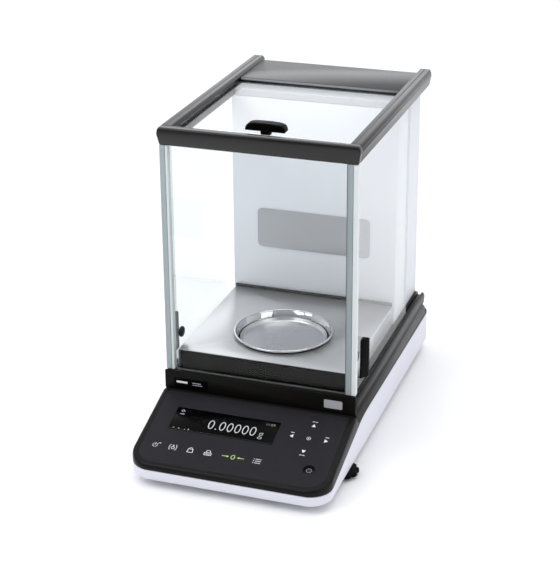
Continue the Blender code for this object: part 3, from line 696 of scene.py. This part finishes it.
ZERO = [(1.15 * math.cos(i * math.pi / 8), 1.75 * math.sin(i * math.pi / 8)) for i in range(17)]
ICONS = {
    "key_power": [
        *stroke(arc(-0.2, -0.3, 1.9, 125, 415, 20), 0.42),
        *stroke([(-0.2, -0.2), (-0.2, 1.9)], 0.42),
        *stroke([(2.0, 1.6), (3.0, 2.6)], 0.45),
        *stroke([(3.0, 2.6), (3.9, 1.9)], 0.45),
    ],
    "key_calibrate": [
        *stroke(arc(1.2, 0, 3.6, 145, 215, 10), 0.42),
        *stroke(arc(-1.2, 0, 3.6, -35, 35, 10), 0.42),
        *stroke(circle(0, -0.3, 1.0, 14) + [(1.0, -0.3)], 0.42),
        *stroke([(0, 0.8), (0, 1.7)], 0.7),
    ],
    "key_unit": [
        *stroke([(-1.9, -2.0), (-1.6, 1.0), (1.6, 1.0), (1.9, -2.0), (-1.9, -2.0)], 0.42),
        *stroke(arc(0, 1.3, 1.0, 0, 180, 10), 0.42),
    ],
    "key_print": [
        *stroke([(-1.3, 0.2), (-1.3, 2.2), (0.8, 2.2), (1.4, 1.5), (1.4, 0.2)], 0.4),
        *stroke([(-2.4, -1.9), (-2.4, 0.2), (2.4, 0.2), (2.4, -1.9), (-2.4, -1.9)], 0.42),
        *stroke([(-1.3, -0.9), (1.3, -0.9)], 0.42),
    ],
    "key_menu": [
        *stroke([(-1.1, 1.7), (2.6, 1.7)], 0.42),
        *stroke([(-1.1, 0.0), (2.6, 0.0)], 0.42),
        *stroke([(-1.1, -1.7), (2.6, -1.7)], 0.42),
        *[circle(-2.3, v, 0.32, 10) for v in (-1.7, 0.0, 1.7)],
    ],
    "key_tare": [
        *stroke([(-7.4, 0), (-3.6, 0)], 0.42),
        [(-2.8, 0), (-4.3, 0.9), (-4.3, -0.9)],
        *stroke([(7.4, 0), (3.6, 0)], 0.42),
        [(2.8, 0), (4.3, -0.9), (4.3, 0.9)],
        *stroke(ZERO, 0.5),
    ],
    "key_up": [
        [(-1.5, -1.0), (1.5, -1.0), (0, 1.5)],
        *stroke([(-1.6, 3.6), (-0.4, 3.6)], 0.5),
        *stroke([(0.4, 3.6), (1.6, 3.6)], 0.5),
    ],
    "key_down": [
        [(-1.5, 1.0), (0, -1.5), (1.5, 1.0)],
        *stroke([(-1.6, -3.6), (-0.4, -3.6)], 0.5),
        *stroke([(0.4, -3.6), (1.6, -3.6)], 0.5),
    ],
    "key_left": [[(1.0, 1.5), (-1.5, 0), (1.0, -1.5)], *stroke([(-1.3, 3.2), (0.9, 3.2)], 0.5)],
    "key_right": [[(-1.0, 1.5), (-1.0, -1.5), (1.5, 0)], *stroke([(-0.9, 3.2), (1.3, 3.2)], 0.5)],
    "key_ok": [*stroke(circle(0, 0, 1.5, 18) + [(1.5, 0)], 0.45), circle(0, 0, 0.55, 12)],
}
ICON_SCALE = {"key_power": 1.3, "key_tare": 1.55, "key_calibrate": 1.65, "key_ok": 1.3}
KEY_HOLE_R, KEY_CAP_R, TARE_HALF = 0.0065, 0.00644, 0.0060
LEVEL_HOLE_R = 0.0065


def make_panel():
    holes = []
    for key in ICONS:
        x0, x1, s0, s1 = panel_span(key)
        x, s = (x0 + x1) / 2, (s0 + s1) / 2
        if key == "key_tare":
            hole, cap = (stadium(x, s, TARE_HALF, radius) for radius in (KEY_HOLE_R, KEY_CAP_R))
        else:
            hole, cap = (circle(x, s, radius) for radius in (KEY_HOLE_R, KEY_CAP_R))
        holes.append(hole)
        disc = prism(f"{key}_face", "PANEL", -0.0030, 0.0, cap)
        finish(disc, FILM, f"{key}_cap", key)
        look = PRINT_GREEN if key == "key_tare" else PRINT
        printed(f"{key}_icon", ICONS[key], x, s, look, f"{key}_cap", scale=ICON_SCALE.get(key, 1.5))
    x0, x1, s0, s1 = panel_span("display_window")
    lx0, lx1, ls0, ls1 = panel_span("level_vial")
    level = ((lx0 + lx1) / 2, (ls0 + ls1) / 2)
    holes.append(rectangle(x0 - 0.0001, x1 + 0.0001, s0 - 0.0001, s1 + 0.0001))
    holes.append(circle(*level, LEVEL_HOLE_R))
    outline = rounded(-0.0987, 0.0987, 0.0028, 0.1037, 0.0182, 0.0018, 20)
    plate = prism("control_film", "PANEL", -0.0015, 0.0, outline, holes)
    finish(plate, FILM, "base", "control_plate", angle=40)

    glass = prism("display_face", "PANEL", -0.0014, -0.0001, rectangle(x0, x1, s0, s1))
    finish(glass, DISPLAY, "base", "display_window", bevel=0.00015)
    above = 0.00002
    lettered("display_reading", "0.00000", x0 + 0.0390, s0 + 0.0080, 0.0182, DIGITS, "base", above, 0.84)
    lettered("display_gram", "g", x0 + 0.0948, s0 + 0.0080, 0.0135, DIGITS, "base", above, 0.9)
    lettered("display_time", "11:09", x1 - 0.0150, s1 - 0.0065, 0.0044, CLOCK, "base", above)
    gauge = [
        *stroke(arc(7.0, 27.2, 1.3, 0, 360, 14), 0.5),
        *stroke([(7.9, 28.4), (9.3, 26.2)], 0.5),
        *stroke([(5.2, 22.6), (9.4, 22.6)], 0.6),
        [(8.6, 23.6), (10.2, 22.6), (8.6, 21.6)],
        *stroke([(4.8, 2.2), (5.8, 2.9)], 0.6),
        *stroke([(10.6, 2.4), (12.0, 2.4)], 0.6),
        *stroke([(17.2, 2.2), (18.0, 2.2)], 0.6),
        *stroke([(21.4, 2.0), (22.0, 3.2)], 0.6),
    ]
    printed("display_symbols", gauge, x0, s0, DIGITS, "base", above)
    line = surface("display_line", "1d1d20", 0.2)
    printed("display_bar", [rectangle(0.0, (x1 - x0) * 1000, 0.0, 0.5)], x0, s0 + 0.0010, line, "base", above)

    centre = PLANES["PANEL"] @ Matrix.Translation((*level, 0))
    body = [(0.0, -0.0012), (0.0045, -0.0014), (0.0058, -0.0022), (0.0060, -0.0096), (0.0, -0.0096)]
    finish(lathe("level_glass", body, centre, 64), LIQUID, "base", "level_vial")
    ring = [(0.0057, -0.0003), (0.0061, -0.0001), (0.0064, -0.0003)]
    ring += [(0.0064, -0.0016), (0.0056, -0.0016), ring[0]]
    finish(lathe("level_ring", ring, centre, 64), BLACK, "base")
    spot = centre @ Matrix.Translation((0.0002, 0.0003, -0.00125))
    bubble = [(0.0, 0.00025), (0.0012, 0.0002), (0.0018, 0.0), (0.0012, -0.0002), (0.0, -0.00025)]
    finish(lathe("level_bubble", bubble, spot, 32), BUBBLE, "base")
    mark = [(0.0024, 0.0001), (0.0027, 0.0001), (0.0027, -0.0001), (0.0024, -0.0001), (0.0024, 0.0001)]
    finish(lathe("level_circle", mark, centre @ Matrix.Translation((0, 0, -0.00115)), 48), PRINT_DIM, "base")


# ------------------------------------------------------------------ weighing chamber
RING_BEAD = 0.00125
BEAD_TURNS = [math.radians(a) for a in range(190, -81, -15)]


def make_chamber():
    front, rear = -0.0888, 0.0856
    tub = box("chamber_box", (-0.0903, 0.0903), (front, rear), (0.0763, 0.0988))
    modify(tub, rod("well", 0.0505, 0.0860, 0.105, "Z", (0, PAN_Y), 128))
    modify(tub, rod("stem", 0.0070, 0.070, 0.090, "Z", (0, PAN_Y)))
    finish(tub, TUB_BLACK, "base", "chamber_base", bevel=0.0006)

    top, low, sheet = 0.1001, 0.0796, 0.0010
    bend = arc(0.0935 - 0.0016, top - 0.0016, 0.0016, 90, 0, 6)
    inner = arc(0.0935 - 0.0016, top - 0.0016, 0.0006, 0, 90, 4)
    folded = both_sides([*bend, (0.0935, low), (0.0935 - sheet, low), *inner])
    plate = prism("floor_sheet", "XZ", front - 0.0007, rear, folded)
    modify(plate, rod("hole", 0.0516, 0.09, 0.11, "Z", (0, PAN_Y), 128))
    finish(plate, STEEL, "base", "floor_plate", bevel=0.0003)
    seal = box("floor_seal_strip", (-0.0925, 0.0925), (rear - 0.0021, rear), (top + GAP, top + 0.0034))
    finish(seal, SEAL, "base", "floor_seal", bevel=0.0004)

    lip = [(0.05215 + RING_BEAD * math.cos(t), 0.10325 + RING_BEAD * math.sin(t)) for t in BEAD_TURNS]
    ring = [
        *lip,
        (0.0503, 0.10040),
        (0.0492, 0.09820),
        (0.0487, 0.09600),
        (0.0485, 0.09500),
        (0.0484, 0.0863),
        (0.0474, 0.0863),
        (0.0475, 0.0950),
        (0.0477, 0.09740),
        (0.0483, 0.09900),
        (0.0495, 0.10120),
        lip[0],
    ]
    spot = Matrix.Translation((0, PAN_Y, 0))
    finish(lathe("draught_ring", ring, spot, 192), POLISHED, "ring", "draft_ring")
    pan = [
        (0.0, 0.09350),
        (0.0425, 0.09350),
        (0.0434, 0.09357),
        (0.0441, 0.09390),
        (0.0450, 0.09520),
        (0.0459, 0.09700),
        (0.0462, 0.09738),
        (0.0465, 0.09730),
        (0.0466, 0.09695),
        (0.0460, 0.09560),
        (0.0451, 0.09360),
        (0.0440, 0.09240),
        (0.0425, 0.09230),
        (0.0, 0.09230),
    ]
    finish(lathe("pan_dish", pan, spot, 192), PAN_STEEL, "pan", "weighing_pan")
    turn, reach = math.radians(235), 0.0385
    tick = box("pan_tick", (-0.0022, 0.0022), (-0.00025, 0.00025), (0.09345, 0.09354))
    tick.matrix_world = (
        Matrix.Translation((reach * math.cos(turn), PAN_Y + reach * math.sin(turn), 0))
        @ Matrix.Rotation(turn, 4, "Z")
        @ tick.matrix_world
    )
    finish(tick, IRON, "pan")


def make_tower():
    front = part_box("tower_housing")[0][1]
    outline = rounded(-0.0950, 0.0950, front, TRACK_REAR, 0.0005, 0.0060, 10)
    tower = prism("tower_body", "XY", 0.0763, 0.3273, outline)
    inside = box("inside", (-0.0924, 0.0924), (0.080, TRACK_REAR - WALL), (0.0790, 0.3247))
    modify(tower, inside)
    finish(tower, TOWER_WHITE, "base", "tower_housing", bevel=0.0006)
    cap = box("tower_cap", (-0.0905, 0.0905), (0.1055, TRACK_REAR - 0.0002), (0.3274, 0.3357))
    finish(cap, TOWER_WHITE, "base", bevel=0.0008)
    wall_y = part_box("rear_wall")[0][1]
    wall = box("wall_sheet", (-0.0947, 0.0947), (wall_y, wall_y + 0.0027), (0.0763, 0.3273))
    finish(wall, TOWER_WHITE, "base", "rear_wall", bevel=0.0004)
    low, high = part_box("label_plate")
    outline = rounded(low[0], high[0], low[2], high[2], 0.006, 0.006, 10)
    label = prism("label_sheet", "XZ", low[1], high[1], outline)
    finish(label, LABEL, "base", "label_plate", bevel=0.0002)
    bar = box("crossbar_body", *zip(*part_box("rear_crossbar")))
    finish(bar, GREY, "base", "rear_crossbar", bevel=0.0007)
    low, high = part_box("rear_top_cover")
    cover = box("top_cover_body", *zip(low, high))
    finish(cover, DARK_GREY, "base", "rear_top_cover", bevel=0.0006)
    across = (low[0] + 0.0008, high[0] - 0.0008)
    # A thin light grey sheet on the cover's front face: a painted highlight that makes that face look lit
    # like the top.
    lip = box("top_cover_front_highlight", across, (low[1] - 0.0004, low[1]), (low[2], high[2] - 0.0005))
    finish(lip, COVER_FRONT_HIGHLIGHT, "base", bevel=0.0001)


def make_top_frame():
    section = [
        (-0.0978, 0.3276),
        (-0.0995, 0.3390),
        (-0.0991, 0.3430),
        (-0.0983, 0.3460),
        (-0.0901, 0.3460),
        (-0.0901, 0.3276),
    ]
    bar = prism("front_bar_body", "YZ", -0.11, 0.11, section)
    ends = both_sides([(0.1034, 0.3460), (0.1050, 0.3430), (0.1056, 0.3390), (0.1032, 0.3276)])
    modify(bar, prism("ends", "XZ", -0.11, -0.08, ends), "INTERSECT")
    finish(bar, FRAME_BLACK, "base", "front_bar", bevel=0.0007, segments=4, angle=20)
    rail = [
        (0.0930, 0.3460),
        (0.0975, 0.3460),
        (0.0978, 0.3456),
        (0.0984, 0.3456),
        (0.0987, 0.3460),
        (0.1034, 0.3460),
        (0.1050, 0.3430),
        (0.1056, 0.3390),
        (0.1032, 0.3276),
        (0.1020, 0.3276),
        (0.1020, 0.3332),
        (0.0976, 0.3332),
        (0.0976, 0.3276),
        (0.0910, 0.3276),
        (0.0910, 0.3358),
        (0.0950, 0.3358),
        (0.0950, 0.3402),
        (0.0910, 0.3402),
        (0.0910, 0.3430),
    ]
    for name, side in (("left_rail", -1), ("right_rail", 1)):
        piece = prism(f"{name}_body", "XZ", -0.0898, TRACK_REAR, [(side * x, z) for x, z in rail])
        finish(piece, FRAME_BLACK, "base", name, bevel=0.00045, angle=18)


# ------------------------------------------------------------------ glass
# Each post is drawn as strips across its width: a grey band, a white band and dark lines are painted
# reflections of the surroundings in the clear bar; the rest is clear.
POST_BANDS = {
    "left": [
        (0.0974, 0.1032, POST_GREY_REFLECTION),
        (0.0971, 0.0974, POST_DARK_REFLECTION),
        (0.0944, 0.0971, POST_WHITE_REFLECTION),
        (0.0922, 0.0944, POST),
    ],
    "right": [
        (0.0929, 0.0985, POST_GREY_REFLECTION),
        (0.0922, 0.0929, POST_DARK_REFLECTION),
        (0.0985, 0.0988, POST_DARK_REFLECTION),
        (0.0988, 0.1032, POST_WHITE_REFLECTION),
    ],
}


STRIP_GAP = 0.00001


def glaze(name, source, body, axis):
    """A pane in its node's place: clear on its two broad faces and darker on its ground edges."""
    piece = box(name, *zip(*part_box(source)))
    finish(piece, PANE, body, source, bevel=0.00035, segments=2)
    piece.data.materials.append(PANE_EDGE)
    turn = piece.matrix_world.to_3x3()
    for face in piece.data.polygons:
        if abs((turn @ face.normal)[axis]) < 0.9:
            face.material_index = 1


def make_glass():
    glaze("front_pane", "front_glass", "base", 1)
    for side, sign in (("left", -1), ("right", 1)):
        low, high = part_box(f"{side}_corner_post")
        for index, (near, far, look) in enumerate(POST_BANDS[side]):
            span = sorted((sign * (near + STRIP_GAP), sign * (far - STRIP_GAP)))
            piece = box(f"{side}_post_{index}", span, (low[1], high[1]), (low[2], high[2]))
            bevel = min(0.0003, (far - near) * 0.2)
            nodes = [f"{side}_corner_post"] if index == 0 else []
            finish(piece, look, "base", *nodes, bevel=bevel, segments=2)
    glaze("left_door_pane", "left_door_glass", "left_door", 0)
    glaze("right_door_pane", "right_door_glass", "right_door", 0)
    glaze("top_door_pane", "top_door_glass", "top_door", 2)


def make_handles():
    for side, sign in (("left", -1), ("right", 1)):
        body = f"{side}_door"
        low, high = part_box(f"{body}_handle")
        root, tip = (low[0], high[0]) if sign > 0 else (high[0], low[0])
        wedge = [
            (root, low[1]),
            (root + sign * 0.0012, low[1]),
            (tip - sign * 0.0007, high[1] - 0.0042),
            (tip, high[1] - 0.0030),
            (tip, high[1]),
            (root, high[1]),
        ]
        grip = prism(f"{body}_grip", "XY", low[2], high[2], wedge)
        # Seen from outside, the grip's top slopes down to the front and its corners are eased.
        trim = rounded(low[1] - 0.001, high[1] + 0.0001, low[2], high[2], 0.0012, 0.0030, 8)
        span = sorted((root - sign * 0.001, tip + sign * 0.001))
        modify(grip, prism("trim", "YZ", *span, trim), "INTERSECT")
        finish(grip, KNOB, body, f"{body}_handle", bevel=0.0007, segments=4, angle=25)
        low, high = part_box(f"{body}_knob")
        root = high[0] if sign > 0 else low[0]
        reach = high[0] - low[0]
        middle = centre_of(f"{body}_knob")
        profile = [
            (0.0, reach),
            (0.0040, reach - 0.0001),
            (0.0051, reach - 0.0005),
            (0.0057, reach - 0.0012),
            (0.0058, reach - 0.0018),
            (0.0058, 0.0010),
            (0.0052, 0.0007),
            (0.0048, 0.0),
            (0.0, 0.0),
        ]
        turn = Matrix.Rotation(-sign * math.pi / 2, 4, "Y")
        spot = Matrix.Translation((root, middle.y, middle.z)) @ turn
        knob = lathe(f"{body}_thumb_knob", profile, spot, 144, (0.0055, 24, 0.0003))
        finish(knob, KNOB, body, f"{body}_knob")

    outline = both_sides(
        [
            (0.0060, 0.35200),
            (0.0120, 0.35165),
            (0.0165, 0.35090),
            (0.0190, 0.34960),
            (0.0204, 0.34720),
            (0.0210, 0.34420),
            (0.0206, 0.34370),
        ]
    )
    grip = prism("top_grip", "XZ", -0.0735, -0.0630, outline)
    finish(grip, KNOB, "top_door", "top_door_handle", bevel=0.0012, segments=4, angle=25)
    stem = box("top_grip_stem", (-0.0050, 0.0050), (-0.0725, -0.0650), (0.3398, 0.3440))
    finish(stem, KNOB, "top_door", bevel=0.0006)


WHEEL_R = 0.0165


def make_feet():
    for side in ("left", "right"):
        name = f"{side}_foot"
        middle = centre_of(f"{name}_wheel")
        spot = Matrix.Translation((middle.x, middle.y, 0))
        wheel = [
            (0.0, 0.0300),
            (0.0034, 0.0300),
            (0.0040, 0.0294),
            (0.0040, 0.0078),
            (0.0130, 0.0075),
            (WHEEL_R - 0.0010, 0.0073),
            (WHEEL_R - 0.0002, 0.0067),
            (WHEEL_R, 0.0060),
            (WHEEL_R, 0.0040),
            (WHEEL_R - 0.0002, 0.0034),
            (WHEEL_R - 0.0010, 0.0027),
            (0.0, 0.0025),
        ]
        lobes = (WHEEL_R - 0.0011, 10, 0.0019)
        piece = lathe(f"{name}_thumbwheel", wheel, spot, 240, lobes)
        finish(piece, KNOB, f"{side}_wheel", f"{name}_wheel")
        pad = [(0.0, 0.0022), (0.0085, 0.0022), (0.0098, 0.0016), (0.0105, 0.0008), (0.0104, 0.0), (0.0, 0.0)]
        finish(lathe(f"{name}_sole", pad, spot, 96), RUBBER, f"{side}_pad", f"{name}_pad")
        rear = centre_of(f"rear_{name}")
        foot = [(0.0, 0.0077), (0.0110, 0.0077), (0.0108, 0.0050)]
        foot += [(0.0100, 0.0008), (0.0090, 0.0), (0.0, 0.0)]
        sole = lathe(f"rear_{side}_sole", foot, Matrix.Translation((rear.x, rear.y, 0)), 96)
        finish(sole, RUBBER, "base", f"rear_{name}")


def dress_the_works():
    """Materials for the nodes that stay as they are."""
    looks = {
        ALUMINIUM: ("chassis_plate", "force_cell", "lever_arm", "pan_support"),
        BRASS: ("calibration_weight",),
        IRON: ("magnet_housing", "calibration_motor", "lift_cam"),
        BOARD: ("keypad_board", "main_board"),
        GREY: ("display_module",),
        STEEL: ("data_socket",),
        BLACK: ("power_jack",),
    }
    for look, names in looks.items():
        for name in names:
            NODES[name].data.materials.clear()
            NODES[name].data.materials.append(look)


set_stage()
make_base()
make_panel()
make_chamber()
make_tower()
make_top_frame()
make_glass()
make_handles()
make_feet()
dress_the_works()
